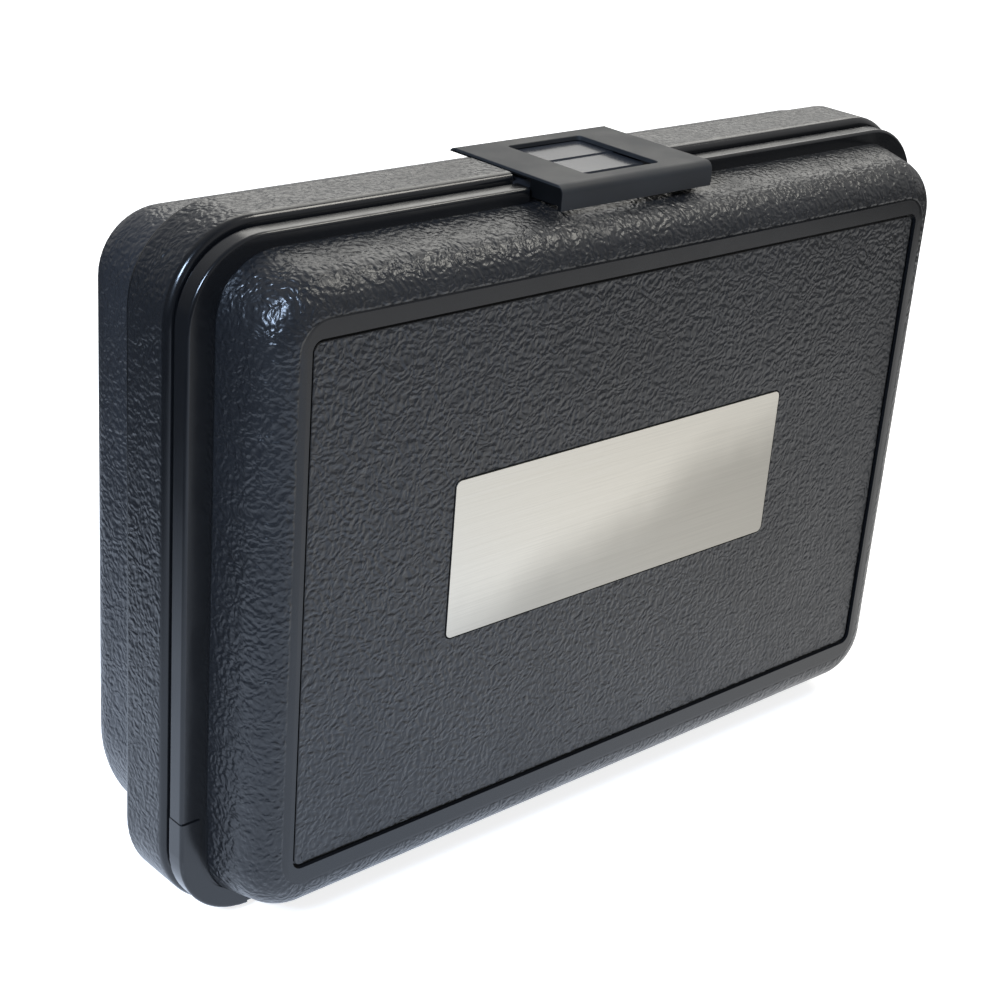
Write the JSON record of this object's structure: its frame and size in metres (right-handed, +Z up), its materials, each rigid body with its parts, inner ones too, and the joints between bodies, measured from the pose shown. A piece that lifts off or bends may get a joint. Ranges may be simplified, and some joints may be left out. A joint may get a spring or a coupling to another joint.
{
  "type": "thermometer carrying case",
  "caption": "Hinged moulded plastic carrying case with a turning top latch, a blank metal label plate and cut foam for a handheld thermometer and its probe.",
  "frame": {"origin": "under the middle of the case, on the surface that it stands on", "axes": "+X along the length, the front panel faces -Y, +Z up from the hinge edge to the latch"},
  "size_m": [0.2278, 0.0564, 0.1615],
  "materials": {
    "shell_plastic": "black moulded plastic with a leather-like grain, smooth on the rims",
    "latch_plastic": "smooth dark grey plastic, semi-matte",
    "pin_steel": "drawn steel wire",
    "label_metal": "brushed sheet, clear lacquered, bare",
    "adhesive_film": "clear double-sided film",
    "foam": "charcoal open-cell foam"
  },
  "bodies": {
    "base": {"rear_shell": "shell_plastic", "base_foam": "foam", "base_foam_floor": "foam", "hinge_pins": "pin_steel", "latch_pin": "pin_steel"},
    "lid": {"front_shell": "shell_plastic", "lid_foam": "foam", "label_plate": "label_metal", "label_adhesive": "adhesive_film"},
    "latch": {"latch_plate": "latch_plastic"}
  },
  "joints": [
    {"name": "lid_hinge", "type": "hinge", "parent": "base", "child": "lid", "pos_m": [0, -0.00785, 0.0018], "axis": [1, 0, 0], "range_deg": [0, 125]},
    {"name": "latch_turn", "type": "hinge", "parent": "base", "child": "latch", "pos_m": [0, 0.0146, 0.1594], "axis": [-1, 0, 0], "range_deg": [0, 110]}
  ]
}
